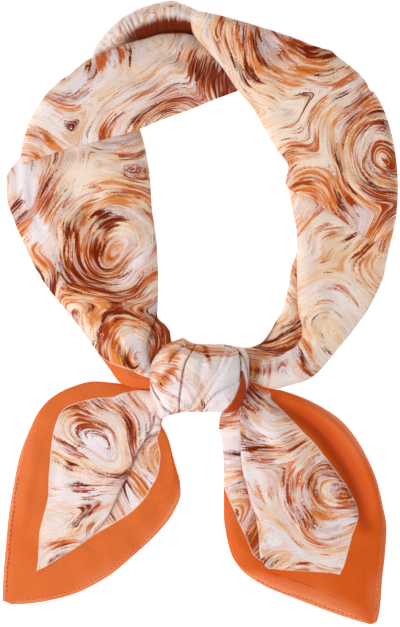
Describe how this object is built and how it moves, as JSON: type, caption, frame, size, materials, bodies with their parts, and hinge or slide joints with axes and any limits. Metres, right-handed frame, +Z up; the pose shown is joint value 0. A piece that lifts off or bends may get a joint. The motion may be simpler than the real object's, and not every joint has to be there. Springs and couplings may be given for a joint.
{
  "type": "square scarf",
  "caption": "Square silk scarf folded on the bias into a flat band, laid as a neck ring and tied in one wrapped knot, with two pointed corners spread below.",
  "frame": {"origin": "centre of the scarf's footprint on the table it lies on", "axes": "+Y from the two pointed ends through the knot to the top of the neck ring, +X to the right seen from above, +Z up from the table"},
  "size_m": [0.2468, 0.3923, 0.0294],
  "materials": {
    "printed_silk": "satin",
    "bordered_silk": "satin"
  },
  "bodies": {
    "root": {"neck_band": "printed_silk", "back_fold": "printed_silk", "inner_leaf": "printed_silk", "knot": "printed_silk", "left_end": "bordered_silk", "right_end": "bordered_silk"}
  },
  "joints": []
}
